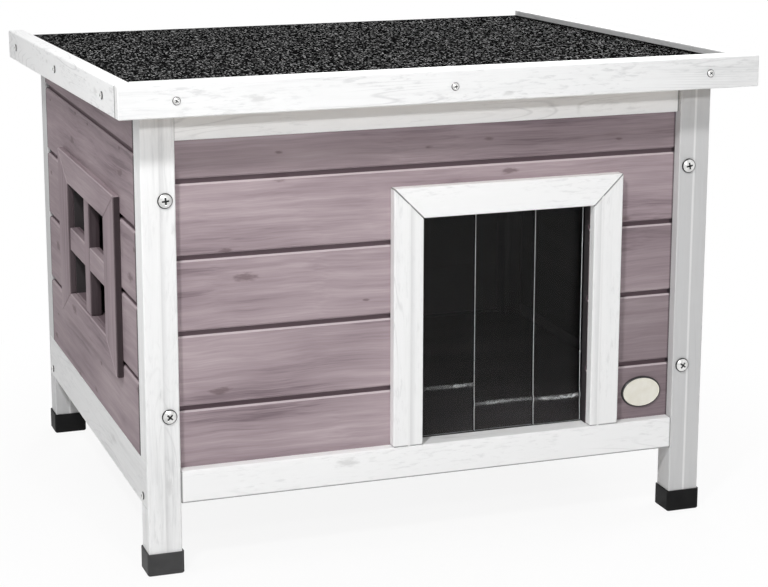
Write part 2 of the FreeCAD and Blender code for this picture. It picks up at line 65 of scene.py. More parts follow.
# Faces that the paint and the screws refer to. Those across the house are measured from x = 0, and those
# along it from MIDDLE, halfway between the front and the rear posts
MIDDLE = 0.004
POST_OUTER_X, POST_INNER_X = 0.2595, 0.2305
POST_OUTER_Y, POST_INNER_Y = 0.22, 0.196
SIDE_BOARD_FACE = 0.2595
END_BOARD_FACE = 0.21
CABIN_HALF_WIDTH, CABIN_HALF_DEPTH = 0.25, 0.2005
CABIN_FOOT = 0.0795
DOOR_LEFT, DOOR_RIGHT, DOOR_TOP = -0.0395, 0.176, 0.3216
ROOF_FALL = math.atan2(13.8, 440.0)
# Where the side trims meet the front trim, down the slope of the roof
TRIM_JOINT = -0.25565
SIDE_TRIM_FACE = 0.285


# Materials

# Near-black stain: painted shade inside the cabin, and on shaded end faces and undersides
SHADE_STAIN = (0.051, 0.046, 0.048)
# A mix node has sockets for each type of data, and these are the ones for colours
MIX_FIRST, MIX_SECOND, MIX_RESULT = 6, 7, 2


class Look:
    """A node material under construction, in the object's own coordinates."""

    def __init__(self, name):
        self.material = bpy.data.materials.new(name)
        self.material.use_nodes = True
        self.tree = self.material.node_tree
        self.surface = self.tree.nodes["Principled BSDF"]
        source = self.add("ShaderNodeTexCoord")
        self.place = source.outputs["Object"]
        self.facing = source.outputs["Normal"]

    def add(self, kind, **settings):
        made = self.tree.nodes.new(kind)
        for name, value in settings.items():
            setattr(made, name, value)
        return made

    def feed(self, socket, value):
        """Links a socket to another one, or sets it to a plain value."""
        if isinstance(value, bpy.types.NodeSocket):
            self.tree.links.new(value, socket)
        else:
            socket.default_value = value

    def shade(self, **values):
        """Sets or links inputs of the surface shader; an underscore stands for a space."""
        for name, value in values.items():
            self.feed(self.surface.inputs[name.replace("_", " ")], value)

    def math(self, operation, *values):
        made = self.add("ShaderNodeMath", operation=operation)
        for socket, value in zip(made.inputs, values):
            self.feed(socket, value)
        return made.outputs[0]

    def times(self, product, *factors):
        """The product of two or more values."""
        for factor in factors:
            product = self.math("MULTIPLY", product, factor)
        return product

    def total(self, *terms):
        """The sum of values, each times its weight."""
        weighed = [self.math("MULTIPLY", value, weight) for value, weight in terms]
        whole = weighed[0]
        for term in weighed[1:]:
            whole = self.math("ADD", whole, term)
        return whole

    def gap(self, value, place):
        """How far a value is from a place, on either side of it."""
        return self.math("ABSOLUTE", self.math("SUBTRACT", value, place))

    def vector(self, operation, *values):
        made = self.add("ShaderNodeVectorMath", operation=operation)
        for socket, value in zip(made.inputs, values):
            self.feed(socket, value)
        return made.outputs["Vector"]

    def part(self, vector, axis):
        made = self.add("ShaderNodeSeparateXYZ")
        self.feed(made.inputs[0], vector)
        return made.outputs[axis]

    def at(self, axis):
        """One coordinate of the point."""
        return self.part(self.place, axis)

    def faces(self, axis):
        """How far the surface faces along an axis, from -1 to 1."""
        return self.part(self.facing, axis)

    def stretch(self, along, lengthwise, crosswise, source=None):
        """Coordinates with one count of features per metre along the grain and another across it."""
        made = self.add("ShaderNodeMapping")
        self.feed(made.inputs["Vector"], source or self.place)
        scale = [crosswise] * 3
        scale[along] = lengthwise
        made.inputs["Scale"].default_value = scale
        return made.outputs[0]

    def noise(self, vector, scale=1.0, detail=2.0, roughness=0.5, colour=False):
        made = self.add("ShaderNodeTexNoise")
        self.feed(made.inputs["Vector"], vector)
        made.inputs["Scale"].default_value = scale
        made.inputs["Detail"].default_value = detail
        made.inputs["Roughness"].default_value = roughness
        return made.outputs["Color" if colour else "Fac"]

    def cells(self, vector, dimensions="3D"):
        """The distance to the nearest of many scattered points, and a random colour for each of them."""
        made = self.add("ShaderNodeTexVoronoi", voronoi_dimensions=dimensions)
        self.feed(made.inputs["Vector"], vector)
        made.inputs["Scale"].default_value = 1.0
        return made.outputs["Distance"], made.outputs["Color"]

    def between(self, value, low, high, out_low=0.0, out_high=1.0):
        """Maps a value from one range to another, smoothly and without going past the ends."""
        made = self.add("ShaderNodeMapRange", interpolation_type="SMOOTHSTEP")
        self.feed(made.inputs["Value"], value)
        ends = {"From Min": low, "From Max": high, "To Min": out_low, "To Max": out_high}
        for name, number in ends.items():
            made.inputs[name].default_value = number
        return made.outputs[0]

    def fade(self, value, near, far, most=1.0):
        """Falls smoothly from its most at near to 0 at far."""
        return self.between(value, near, far, most, 0.0)

    def ramp(self, value, *stops):
        made = self.add("ShaderNodeValToRGB")
        self.feed(made.inputs[0], value)
        band = made.color_ramp.elements
        while len(band) < len(stops):
            band.new(0.5)
        for stop, (position, colour) in zip(band, stops):
            stop.position = position
            stop.color = (*colour, 1.0)
        return made.outputs[0]

    def mix(self, factor, first, second):
        made = self.add("ShaderNodeMix", data_type="RGBA")
        self.feed(made.inputs[0], factor)
        for index, value in ((MIX_FIRST, first), (MIX_SECOND, second)):
            self.feed(made.inputs[index], (*value, 1.0) if isinstance(value, tuple) else value)
        return made.outputs[MIX_RESULT]

    def bump(self, height, strength, distance):
        made = self.add("ShaderNodeBump")
        self.feed(made.inputs["Height"], height)
        made.inputs["Strength"].default_value = strength
        made.inputs["Distance"].default_value = distance
        return made.outputs[0]


# Most of what the noise of the streaks, and of a cloudy surface, gives lies in these ranges
STREAKS = (0.2, 0.8)
CLOUD = (0.3, 0.7)

# How far the grain wanders, and how many growth rings a full swing of their noise passes
GRAIN_WANDER = 0.011
RINGS = 26.0
# Knots: cells per metre that may each hold one, the share of cells that stay empty, how far a knot reaches in
# its cell, and how ragged its edge is
KNOTS_ALONG, KNOTS_ACROSS = 8.5, 23.0
KNOTLESS = 0.28
KNOT_REACH = (0.035, 0.13)
KNOT_RAGGED = 1.6


def knot_marks(look, vector, along):
    """Small dark eyes with ragged edges, drawn out along the grain, a few to a board."""
    across = X if along == Z else Z
    spot = look.add("ShaderNodeCombineXYZ")
    look.feed(spot.inputs[X], look.times(look.part(vector, along), KNOTS_ALONG))
    look.feed(spot.inputs[Y], look.times(look.part(vector, across), KNOTS_ACROSS))
    distance, dice = look.cells(spot.outputs[0], "2D")
    share = look.math("DIVIDE", distance, look.between(look.part(dice, Y), 0.0, 1.0, *KNOT_REACH))
    rough = look.noise(look.stretch(along, 110.0, 330.0, vector), detail=3.0, roughness=0.6)
    share = look.math("ADD", share, look.times(look.math("SUBTRACT", rough, 0.5), KNOT_RAGGED))
    present = look.math("GREATER_THAN", look.part(dice, X), KNOTLESS)
    return look.times(look.fade(share, 0.25, 1.0), present)


def timber_tone(look, along):
    """Slow patches, streaks that wander a little, fine grain, and knots drawn out along the grain."""
    patches = look.noise(look.stretch(along, 5.0, 16.0), detail=3.0)
    wander = look.vector("SUBTRACT", look.noise(look.place, 9.0, colour=True), (0.5, 0.5, 0.5))
    wander = look.vector("MULTIPLY", wander, (GRAIN_WANDER, GRAIN_WANDER, GRAIN_WANDER))
    bent = look.vector("ADD", look.place, wander)
    streaks = look.noise(look.stretch(along, 5.0, 150.0, bent), detail=5.0, roughness=0.6)
    grain = look.noise(look.stretch(along, 22.0, 900.0, bent), detail=3.0)
    return patches, streaks, grain, knot_marks(look, bent, along)


def growth_rings(look, along):
    """Thin lines in long loops, as on flat-sawn pine, which come and go along the piece."""
    heart = look.noise(look.stretch(along, 2.2, 30.0), detail=1.0)
    phase = look.math("FRACT", look.times(heart, RINGS))
    lines = look.between(look.gap(phase, 0.5), 0.36, 0.5)
    patches = look.between(look.noise(look.stretch(along, 6.0, 24.0), detail=2.0), 0.5, 0.66)
    return look.times(lines, patches)


def flecks(look, along):
    """Short grey flecks in loose groups, where the grain took less paint."""
    groups = look.between(look.noise(look.stretch(along, 10.0, 42.0), detail=2.0), 0.42, 0.6)
    specks = look.noise(look.stretch(along, 75.0, 380.0), detail=4.0, roughness=0.6)
    return look.times(groups, look.between(specks, 0.5, 0.68))


def indoors(look):
    """1 on surfaces inside the cabin, and 0 elsewhere."""
    return look.times(
        look.math("LESS_THAN", look.math("ABSOLUTE", look.at(X)), CABIN_HALF_WIDTH),
        look.math("LESS_THAN", look.gap(look.at(Y), MIDDLE), CABIN_HALF_DEPTH),
        look.math("GREATER_THAN", look.at(Z), CABIN_FOOT),
    )


MAUVE = (
    (0.36, (0.2, 0.152, 0.17)),
    (0.45, (0.335, 0.266, 0.289)),
    (0.54, (0.415, 0.336, 0.359)),
    (0.66, (0.53, 0.444, 0.466)),
)
MAUVE_KNOT = (0.14, 0.098, 0.105)
MAUVE_SHADED = (0.1, 0.078, 0.086)
MAUVE_BEVEL_HIGHLIGHT = (0.66, 0.575, 0.6)
MAUVE_GROOVE_SHADE = (0.12, 0.082, 0.096)
POST_GAP_SHADE = (0.05, 0.04, 0.044)
WINDOW_SHADE = (0.04, 0.03, 0.033)
# Between these depths under a board's face its grooves take painted shade
GROOVE_DEPTHS = (0.0012, 0.0023)


def painted_boards(name, along, wall, shaded_ends=False, edge_shade=0.0, shaded_darker=0.0):
    """Thin mauve-grey paint on grooved pine, with painted highlights on the upper bevels and painted shade in
    the grooves, beside the posts and indoors.

    The wall is "front" for the front and the rear one, and "side" for the others. With shaded ends, the end
    faces and undersides take the near-black stain of the inside as painted shade. The edge share darkens
    faces that look to the front as painted shade, and the darker share darkens the whole board as painted
    shade, a shaded copy of the same paint.
    """
    look = Look(name)
    patches, streaks, grain, knots = timber_tone(look, along)
    if wall == "front":
        end_axis = X
        bevel_highlight, grooved = 1.0, 0.88
        depth = look.math("SUBTRACT", END_BOARD_FACE, look.gap(look.at(Y), MIDDLE))
        post_gap_shade = look.fade(look.math("SUBTRACT", POST_INNER_X, look.at(X)), 0.0003, 0.002, 0.8)
    else:
        end_axis = Y
        bevel_highlight, grooved = 0.35, 0.7
        depth = look.math("SUBTRACT", SIDE_BOARD_FACE, look.math("ABSOLUTE", look.at(X)))
        to_post = look.math("SUBTRACT", POST_INNER_Y, look.gap(look.at(Y), MIDDLE))
        post_gap_shade = look.fade(to_post, 0.0, 0.0055, 0.88)
    upper_bevel = look.times(look.between(look.faces(Z), 0.4, 0.6), look.fade(look.faces(Z), 0.8, 0.95, 0.8))

    colour = look.ramp(look.total((patches, 0.45), (streaks, 0.4), (grain, 0.15)), *MAUVE)
    colour = look.mix(look.times(knots, 0.62), colour, MAUVE_KNOT)
    # Painted shade: the whole board darkened, a shaded copy of the same paint
    if shaded_darker:
        colour = look.mix(shaded_darker, colour, MAUVE_SHADED)
    # Painted highlight: upward-facing bevels are lightened as if catching the light
    colour = look.mix(look.times(upper_bevel, bevel_highlight), colour, MAUVE_BEVEL_HIGHLIGHT)
    # Painted shade in the grooves, by depth under the board's face
    colour = look.mix(look.between(depth, *GROOVE_DEPTHS, 0.0, grooved), colour, MAUVE_GROOVE_SHADE)
    # Painted shade on the boards in the gap next to the posts
    colour = look.mix(post_gap_shade, colour, POST_GAP_SHADE)
    # Painted shade: surfaces inside the cabin take the near-black stain
    colour = look.mix(indoors(look), colour, SHADE_STAIN)
    # Painted shade: end faces, such as those in the doorway, and undersides take the near-black stain
    if shaded_ends:
        shaded_end_faces = look.between(look.math("ABSOLUTE", look.faces(end_axis)), 0.5, 0.7)
        underside = look.fade(look.faces(Z), -0.95, -0.9)
        colour = look.mix(look.math("MAXIMUM", shaded_end_faces, underside), colour, SHADE_STAIN)
    # Painted shade on faces that look to the front
    if edge_shade:
        colour = look.mix(look.fade(look.faces(Y), -0.8, -0.5, edge_shade), colour, WINDOW_SHADE)
    look.shade(
        Base_Color=colour,
        Roughness=look.between(streaks, *STREAKS, 0.55, 0.72),
        Normal=look.bump(look.total((streaks, 0.6), (grain, 0.4)), 0.3, 0.0006),
        Specular_IOR_Level=0.1,
    )
    return look.material


WHITE = (
    (0.33, (0.7, 0.705, 0.708)),
    (0.42, (0.85, 0.853, 0.853)),
    (0.5, (0.905, 0.907, 0.907)),
    (0.62, (0.925, 0.927, 0.927)),
)
WHITE_SHADED = (0.42, 0.42, 0.425)
WHITE_LIT = (0.97, 0.972, 0.972)
WHITE_FLECK = (0.6, 0.605, 0.608)
WHITE_RING = (0.5, 0.5, 0.505)
WHITE_KNOT = (0.36, 0.355, 0.35)
SEAM_HIGHLIGHT = (0.88, 0.88, 0.88)
SEAM_SHADE = (0.62, 0.62, 0.625)
JOINT_AND_SHADE_LINE = (0.13, 0.13, 0.13)
MITRE_JOINT = (0.12, 0.12, 0.12)
ROOF_JOINT = (0.08, 0.08, 0.08)
TRIM_SHADE = (0.1, 0.1, 0.1)
# The mitred joints of the door frame lie above this height
MITRE_FOOT = 0.29


def joint_and_shade_lines(look, colour, joints):
    """Thin dark lines, each given by an axis and a place on it: where pieces meet, and painted shade on a
    lower edge.
    """
    for axis, place in joints:
        line = look.fade(look.gap(look.at(axis), place), 0.0005, 0.0018, 0.85)
        not_below = look.between(look.faces(Z), -0.95, -0.8)
        colour = look.mix(look.times(line, not_below), colour, JOINT_AND_SHADE_LINE)
    return colour


def mitre_lines(look, colour):
    """Thin dark lines that slope inward from the two upper corners of the door frame."""
    x, z = look.at(X), look.at(Z)
    left = look.gap(look.math("ADD", z, x), DOOR_TOP + DOOR_LEFT)
    right = look.gap(look.math("SUBTRACT", z, x), DOOR_TOP - DOOR_RIGHT)
    for from_joint in (left, right):
        line = look.fade(from_joint, 0.0005, 0.0013, 0.8)
        colour = look.mix(look.times(line, look.math("GREATER_THAN", z, MITRE_FOOT)), colour, MITRE_JOINT)
    return colour


def trim_shades(look, colour):
    """A thin dark line where the roof's trims meet, and shade on the side trims' inner faces."""
    down_roof = look.total((look.at(Y), math.cos(ROOF_FALL)), (look.at(Z), -math.sin(ROOF_FALL)))
    line = look.fade(look.gap(down_roof, TRIM_JOINT), 0.0007, 0.0016, 0.85)
    sideways = look.between(look.math("ABSOLUTE", look.faces(X)), 0.5, 0.7)
    colour = look.mix(look.times(line, sideways), colour, ROOF_JOINT)
    outward = look.times(look.faces(X), look.at(X))
    return look.mix(look.fade(outward, -0.2, -0.1, 0.45), colour, TRIM_SHADE)


def glue_seam(look, colour, relief, place):
    """A pale raised line down an upright at a place in x, a painted highlight with painted shade on its inner
    side.
    """
    from_seam = look.times(look.math("SUBTRACT", look.at(X), place), math.copysign(1.0, place))
    line = look.fade(look.math("ABSOLUTE", from_seam), 0.0004, 0.0016)
    # Painted highlight along the raised line, and painted shade beside it
    colour = look.mix(look.times(line, 0.75), colour, SEAM_HIGHLIGHT)
    beside = look.times(look.between(from_seam, -0.007, -0.0012), look.fade(from_seam, -0.0012, -0.0008))
    colour = look.mix(look.times(beside, 0.45), colour, SEAM_SHADE)
    return colour, look.math("ADD", relief, line)


def painted_white(name, along, seams=(), joints=(), mitred=False, roof=False, shaded_grey=0.0, lit_white=0.0):
    """White paint that lets a little grey grain through.

    Seams are the places in x of an upright's glue lines, and dark lines are given by axis and place: where
    the piece meets its neighbours, and as painted shade along a lower edge. Mitred pieces belong to the door
    frame, and roof pieces are the trims. The greying share greys the paint as painted shade, and the
    whitening share whitens it as painted light.
    """
    look = Look(name)
    patches, streaks, grain, knots = timber_tone(look, along)
    fleck_share, ring_share = (0.5, 0.4) if roof else (0.3, 0.28)
    colour = look.ramp(look.total((patches, 0.35), (streaks, 0.45), (grain, 0.2)), *WHITE)
    # Painted shade greys the paint of pieces in less light, and painted light whitens that of pieces in more
    if shaded_grey:
        colour = look.mix(shaded_grey, colour, WHITE_SHADED)
    if lit_white:
        colour = look.mix(lit_white, colour, WHITE_LIT)
    colour = look.mix(look.times(flecks(look, along), fleck_share), colour, WHITE_FLECK)
    colour = look.mix(look.times(growth_rings(look, along), ring_share), colour, WHITE_RING)
    colour = look.mix(look.times(knots, 0.3), colour, WHITE_KNOT)
    colour = joint_and_shade_lines(look, colour, joints)
    if mitred:
        colour = mitre_lines(look, colour)
    if roof:
        colour = trim_shades(look, colour)
    else:
        # Painted shade: surfaces inside the cabin take the near-black stain
        colour = look.mix(indoors(look), colour, SHADE_STAIN)
    relief = look.total((streaks, 0.6), (grain, 0.4))
    for place in seams:
        colour, relief = glue_seam(look, colour, relief, place)
    look.shade(
        Base_Color=colour,
        Roughness=look.between(streaks, *STREAKS, 0.38, 0.55),
        Normal=look.bump(relief, 0.25, 0.0005),
        Specular_IOR_Level=0.15,
    )
    return look.material


def shade_stained_wood(name, along):
    """Pine under a dark stain, for the floor and battens inside the house: painted shade for the inside."""
    look = Look(name)
    patches, streaks, grain, knots = timber_tone(look, along)
    tone = look.total((patches, 0.4), (streaks, 0.6))
    colour = look.ramp(tone, (0.32, (0.029, 0.026, 0.027)), (0.5, SHADE_STAIN), (0.7, (0.079, 0.071, 0.073)))
    colour = look.mix(look.times(knots, 0.6), colour, (0.01, 0.008, 0.008))
    look.shade(
        Base_Color=colour,
        Roughness=look.between(streaks, *STREAKS, 0.6, 0.8),
        Normal=look.bump(look.math("ADD", streaks, grain), 0.3, 0.0005),
        Specular_IOR_Level=0.2,
    )
    return look.material


def planed_wood(name, along):
    """Unpainted pine, under the floor and the roof."""
    look = Look(name)
    patches, streaks, grain, knots = timber_tone(look, along)
    colour = look.ramp(
        look.total((patches, 0.35), (streaks, 0.65)),
        (0.3, (0.44, 0.33, 0.22)),
        (0.5, (0.61, 0.49, 0.35)),
        (0.68, (0.7, 0.59, 0.45)),
    )
    colour = look.mix(look.times(knots, 0.7), colour, (0.16, 0.08, 0.035))
    colour = look.mix(look.times(grain, 0.2), colour, (0.44, 0.32, 0.21))
    look.shade(
        Base_Color=colour,
        Roughness=look.between(streaks, *STREAKS, 0.55, 0.75),
        Normal=look.bump(look.math("ADD", streaks, grain), 0.3, 0.0005),
        Specular_IOR_Level=0.3,
    )
    return look.material


def mineral_felt(name):
    """Charcoal roofing felt strewn with grey and pale granules, with painted shade where it runs under trims.
    """
    look = Look(name)
    distance, dice = look.cells(look.stretch(Y, 430.0, 780.0))
    shade = look.part(dice, Y)
    colour = look.ramp(
        shade,
        (0.0, (0.002, 0.002, 0.002)),
        (0.6, (0.004, 0.004, 0.0041)),
        (0.78, (0.013, 0.013, 0.0132)),
        (0.88, (0.16, 0.16, 0.162)),
        (1.0, (0.75, 0.75, 0.75)),
    )
    worn = look.noise(look.place, 7.0, detail=3.0)
    colour = look.mix(look.between(worn, 0.35, 0.75, 0.0, 0.25), colour, (0.018, 0.018, 0.0185))
    felt_low, felt_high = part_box("roof_felt")
    to_side = look.math("SUBTRACT", felt_high.x, look.math("ABSOLUTE", look.at(X)))
    to_front = look.math("SUBTRACT", look.at(Y), felt_low.y)
    side_shade = look.fade(to_side, 0.003, 0.018, 0.85)
    front_shade = look.fade(to_front, 0.001, 0.008, 0.7)
    # Painted shade along the felt's edges next to the trims
    colour = look.mix(look.math("MAXIMUM", side_shade, front_shade), colour, (0.002, 0.002, 0.002))
    grit = look.times(look.math("SUBTRACT", 1.0, distance), look.between(shade, 0.0, 1.0, 0.3, 1.0))
    look.shade(
        Base_Color=colour,
        Roughness=look.between(shade, 0.6, 1.0, 0.9, 0.65),
        Normal=look.bump(grit, 0.8, 0.0012),
        Specular_IOR_Level=0.0,
    )
    return look.material


def moulded_rubber(name):
    """Black rubber, with painted light greying the front left foot."""
    look = Look(name)
    cloud = look.noise(look.place, 55.0, detail=4.0)
    specks = look.noise(look.place, 1400.0, detail=2.0)
    colour = look.ramp(cloud, (CLOUD[0], (0.004, 0.004, 0.0042)), (CLOUD[1], (0.012, 0.012, 0.0124)))
    # Painted light: the front left foot is greyed as if more strongly lit
    front_left = look.times(look.fade(look.at(X), -0.2, 0.0), look.fade(look.at(Y), -0.2, 0.0))
    foot_light = look.times(front_left, look.between(cloud, 0.25, 0.75, 0.7, 1.0))
    look.shade(
        Base_Color=look.mix(foot_light, colour, (0.072, 0.072, 0.073)),
        Roughness=look.between(cloud, *CLOUD, 0.5, 0.68),
        Normal=look.bump(specks, 0.35, 0.0003),
        Specular_IOR_Level=0.12,
    )
    return look.material


def plated_steel(name, base, *roughness):
    """Zinc-plated steel with fine turning marks, dulled in places."""
    look = Look(name)
    cloud = look.noise(look.place, 240.0, detail=3.0)
    scratches = look.noise(look.stretch(Z, 300.0, 2600.0), detail=2.0)
    dulled = tuple(0.72 * level for level in base)
    look.shade(
        Base_Color=look.mix(look.between(cloud, 0.3, 0.75), base, dulled),
        Metallic=1.0,
        Roughness=look.between(cloud, 0.3, 0.75, *roughness),
        Normal=look.bump(scratches, 0.12, 0.0001),
    )
    return look.material


# Half the width of a fold across the clear sheet
FOLD_WIDTH = 0.0026


def clear_sheet(name, fold=None):
    """Clear PVC: slightly rippled, with faint handling marks and a cloudy white line at a fold, a painted
    glint.
    """
    look = Look(name)
    ripple = look.noise(look.stretch(Z, 16.0, 45.0), detail=1.0)
    marks = look.noise(look.stretch(Z, 35.0, 260.0), detail=4.0)
    clearness = 1.0
    if fold is not None:
        line = look.fade(look.gap(look.at(Z), fold), 0.0002, FOLD_WIDTH)
        specks = look.noise(look.stretch(Z, 500.0, 330.0), detail=3.0)
        worn = look.between(look.noise(look.place, 38.0), 0.42, 0.62, 0.12, 0.5)
        # Painted glint: the fold line turns cloudy white where it would catch the light
        fold_glint = look.times(line, worn, look.between(specks, 0.38, 0.7, 0.15, 1.0))
        clearness = look.math("SUBTRACT", 1.0, fold_glint)
    look.shade(
        Base_Color=look.ramp(marks, (0.35, (0.93, 0.95, 0.955)), (0.65, (0.985, 0.99, 0.99))),
        Roughness=look.between(marks, 0.5, 0.8, 0.015, 0.12),
        Normal=look.bump(ripple, 0.25, 0.002),
        Transmission_Weight=clearness,
        IOR=1.16,
    )
    return look.material


def cut_edge_highlight(name):
    """The sawn edge of the clear sheet, which looks white: a painted highlight where it would gather light.
    """
    look = Look(name)
    saw = look.noise(look.stretch(Z, 900.0, 300.0), detail=3.0)
    look.shade(
        Base_Color=look.ramp(saw, (CLOUD[0], (0.72, 0.76, 0.77)), (CLOUD[1], (0.93, 0.95, 0.95))),
        Roughness=look.between(saw, *CLOUD, 0.25, 0.5),
        Normal=look.bump(saw, 0.3, 0.0002),
        Transmission_Weight=0.35,
        IOR=1.46,
    )
    return look.material


def enamel(name, light, dark, *roughness):
    """Baked enamel, slightly cloudy and pitted under its gloss."""
    look = Look(name)
    cloud = look.noise(look.place, 130.0, detail=4.0)
    pits = look.noise(look.place, 1900.0, detail=2.0)
    look.shade(
        Base_Color=look.ramp(cloud, (CLOUD[0], dark), (CLOUD[1], light)),
        Roughness=look.between(cloud, *CLOUD, *roughness),
        Normal=look.bump(pits, 0.15, 0.0002),
        Coat_Weight=0.25,
        Coat_Roughness=0.2,
    )
    return look.material


# Places in x of the glue seams
POST_SEAMS = (-0.2452, 0.2452)
STILE_SEAMS = (-0.0252, 0.1566)
# Places of the joints at the ends of the bottom rail and at the foot of the door frame, and of painted shade
# along the rail's lower edge
rail_low, rail_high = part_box("front_bottom_rail")
stile_low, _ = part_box("door_left_stile")
RAIL_JOINT_AND_SHADE_LINES = ((X, rail_low.x), (X, rail_high.x), (Z, rail_low.z))
STILE_JOINTS = ((Z, stile_low.z),)
# How each clear strip hangs: its bow across, the curl at its foot, and the rise and height of its fold
STRIPS = {
    "left": {"bow": 0.0006, "curl": 0.001, "rise": 0.0005, "fold": 0.1352},
    "middle": {"bow": -0.0007, "curl": 0.0016, "rise": 0.0008, "fold": 0.1164},
    "right": {"bow": 0.0009, "curl": 0.0026, "rise": 0.0013, "fold": 0.1156},
}

front_mauve = painted_boards("mauve_paint_front", X, "front", shaded_ends=True)
# Shaded copies of the paint are painted shade: roof's shadow on the top board, dimmer right front, side walls
shaded_mauve = painted_boards("mauve_paint_front_shaded", X, "front", shaded_ends=True, shaded_darker=0.2)
deep_shaded_mauve = painted_boards("mauve_paint_front_deep_shade", X, "front", shaded_ends=True, shaded_darker=0.4)
side_mauve = painted_boards("mauve_paint_side", Y, "side", shaded_ends=True, shaded_darker=0.18)
window_mauve = painted_boards("mauve_paint_window", Y, "side", shaded_darker=0.18)
# Painted shade on the front-facing faces of the window's stiles and mullion
edge_mauve = painted_boards("mauve_paint_window_edge", Z, "side", edge_shade=0.95, shaded_darker=0.18)
jamb_mauve = painted_boards("mauve_paint_window_jamb", Z, "side", edge_shade=0.8, shaded_darker=0.18)
# Greyed copies of the white paint are painted shade, and whitened copies are painted light
post_white = painted_white("white_paint_post", Z, POST_SEAMS)
shaded_post_white = painted_white("white_paint_post_shaded", Z, POST_SEAMS, shaded_grey=0.56)
rail_white = painted_white("white_paint_rail", X, joints=RAIL_JOINT_AND_SHADE_LINES, lit_white=0.85)
side_white = painted_white("white_paint_side", Y, shaded_grey=0.13)
header_white = painted_white("white_paint_header", X, mitred=True, lit_white=0.85)
stile_white = painted_white("white_paint_stile", Z, STILE_SEAMS, STILE_JOINTS, mitred=True, lit_white=0.3)
front_trim_white = painted_white("white_paint_front_trim", X, roof=True, shaded_grey=0.03)
side_trim_white = painted_white("white_paint_side_trim", Y, roof=True, lit_white=0.6)
# Pine stained near-black as painted shade for the inside of the house
shade_stained_batten = shade_stained_wood("shade_stained_pine_z", Z)
shade_stained_panel = shade_stained_wood("shade_stained_pine_x", X)
roof_pine = planed_wood("planed_pine_x", X)
bearer_pine = planed_wood("planed_pine_y", Y)
felt = mineral_felt("mineral_felt")
rubber = moulded_rubber("moulded_rubber")
screw_steel = plated_steel("screw_steel", (0.82, 0.82, 0.81), 0.16, 0.32)
# Near-black steel as painted shade in the screws' cross recesses and at their seats
recess_shade_steel = plated_steel("recess_shade_steel", (0.06, 0.06, 0.06), 0.35, 0.55)
hinge_steel = plated_steel("hinge_steel", (0.62, 0.62, 0.62), 0.26, 0.44)
clear_band = clear_sheet("clear_sheet")
clear_strips = {side: clear_sheet(f"clear_sheet_creased_{side}", STRIPS[side]["fold"]) for side in STRIPS}
clear_edge_highlight = cut_edge_highlight("clear_sheet_edge_highlight")
cream_enamel = enamel("cream_enamel", (0.87, 0.85, 0.77), (0.8, 0.77, 0.67), 0.28, 0.42)
dark_enamel = enamel("dark_enamel", (0.03, 0.029, 0.03), (0.014, 0.013, 0.014), 0.3, 0.45)

FINISHES = (
    (post_white, "front_left_post rear_right_post"),
    (shaded_post_white, "front_right_post rear_left_post"),
    (rail_white, "front_bottom_rail rear_bottom_rail front_top_rail rear_top_rail"),
    (side_white, "left_bottom_rail right_bottom_rail"),
    (front_trim_white, "roof_front_trim roof_front_strip"),
    (side_trim_white, "roof_left_trim roof_right_trim"),
    (header_white, "door_header"),
    (stile_white, "door_left_stile door_right_stile"),
    (front_mauve, "front_board_2 front_left_board_3 front_left_board_4 front_left_board_5 rear_boards"),
    (shaded_mauve, "front_board_1 front_right_board_3"),
    (deep_shaded_mauve, "front_right_board_4 front_right_board_5"),
    (side_mauve, "left_board_1 left_board_2 left_board_3 left_board_4 left_board_5 right_boards"),
    (window_mauve, "window_bottom_rail window_top_rail window_transom"),
    (jamb_mauve, "window_rear_stile window_mullion"),
    (edge_mauve, "window_front_stile"),
    (shade_stained_batten, "corner_battens"),
    (shade_stained_panel, "floor_panel flap_batten"),
    (roof_pine, "roof_panel roof_rear_batten"),
    (bearer_pine, "floor_bearers"),
    (felt, "roof_felt"),
    (rubber, "foot_caps"),
    (hinge_steel, "hinge_body_leaves hinge_roof_leaves hinge_pins"),
    (clear_band, "flap_top_band"),
)
for finish, node_names in FINISHES:
    for node_name in node_names.split():
        for material_slot in nodes[node_name].material_slots:
            material_slot.material = finish


# Pieces

SMOOTH_UP_TO = math.radians(35.0)


def add_piece(name, mesh):
    piece = bpy.data.objects.new(name, mesh)
    scene.collection.objects.link(piece)
    return piece


def mesh_of(name, bm, *materials):
    """Turns a bmesh into a mesh with outward faces that shade smoothly across slight bends."""
    bmesh.ops.recalc_face_normals(bm, faces=bm.faces)
    for face in bm.faces:
        face.smooth = True
    for line in bm.edges:
        line.smooth = line.is_manifold and line.calc_face_angle(0.0) < SMOOTH_UP_TO
    mesh = bpy.data.meshes.new(name)
    bm.to_mesh(mesh)
    bm.free()
    for material in materials:
        mesh.materials.append(material)
    return mesh


def ring_points(segments):
    """Cosines and sines once round a circle."""
    angles = [2 * math.pi * i / segments for i in range(segments)]
    return [(math.cos(angle), math.sin(angle)) for angle in angles]


# Screws

SCREW_SEGMENTS = 32
GOLDEN_TURN = math.radians(137.5)
# Shares of a pan head's height and radius: its straight edge, how far the recess may reach, and its seat
HEAD_EDGE = 0.3
RECESS_WITHIN = 0.6
SEAT_BEYOND = 0.9


def lathe(bm, profile, segments):
    """Turns a profile of (radius, height) pairs, both ends on the axis, about Z."""
    rings = []
    for radius, height in profile:
        if radius == 0:
            rings.append([bm.verts.new((0, 0, height))])
        else:
            rings.append([bm.verts.new((radius * c, radius * s, height)) for c, s in ring_points(segments)])
    for lower, upper in zip(rings, rings[1:]):
        for i in range(segments):
            j = (i + 1) % segments
            below = [lower[i % len(lower)], lower[j % len(lower)]]
            above = [upper[j % len(upper)], upper[i % len(upper)]]
            bm.faces.new(list(dict.fromkeys(below + above)))


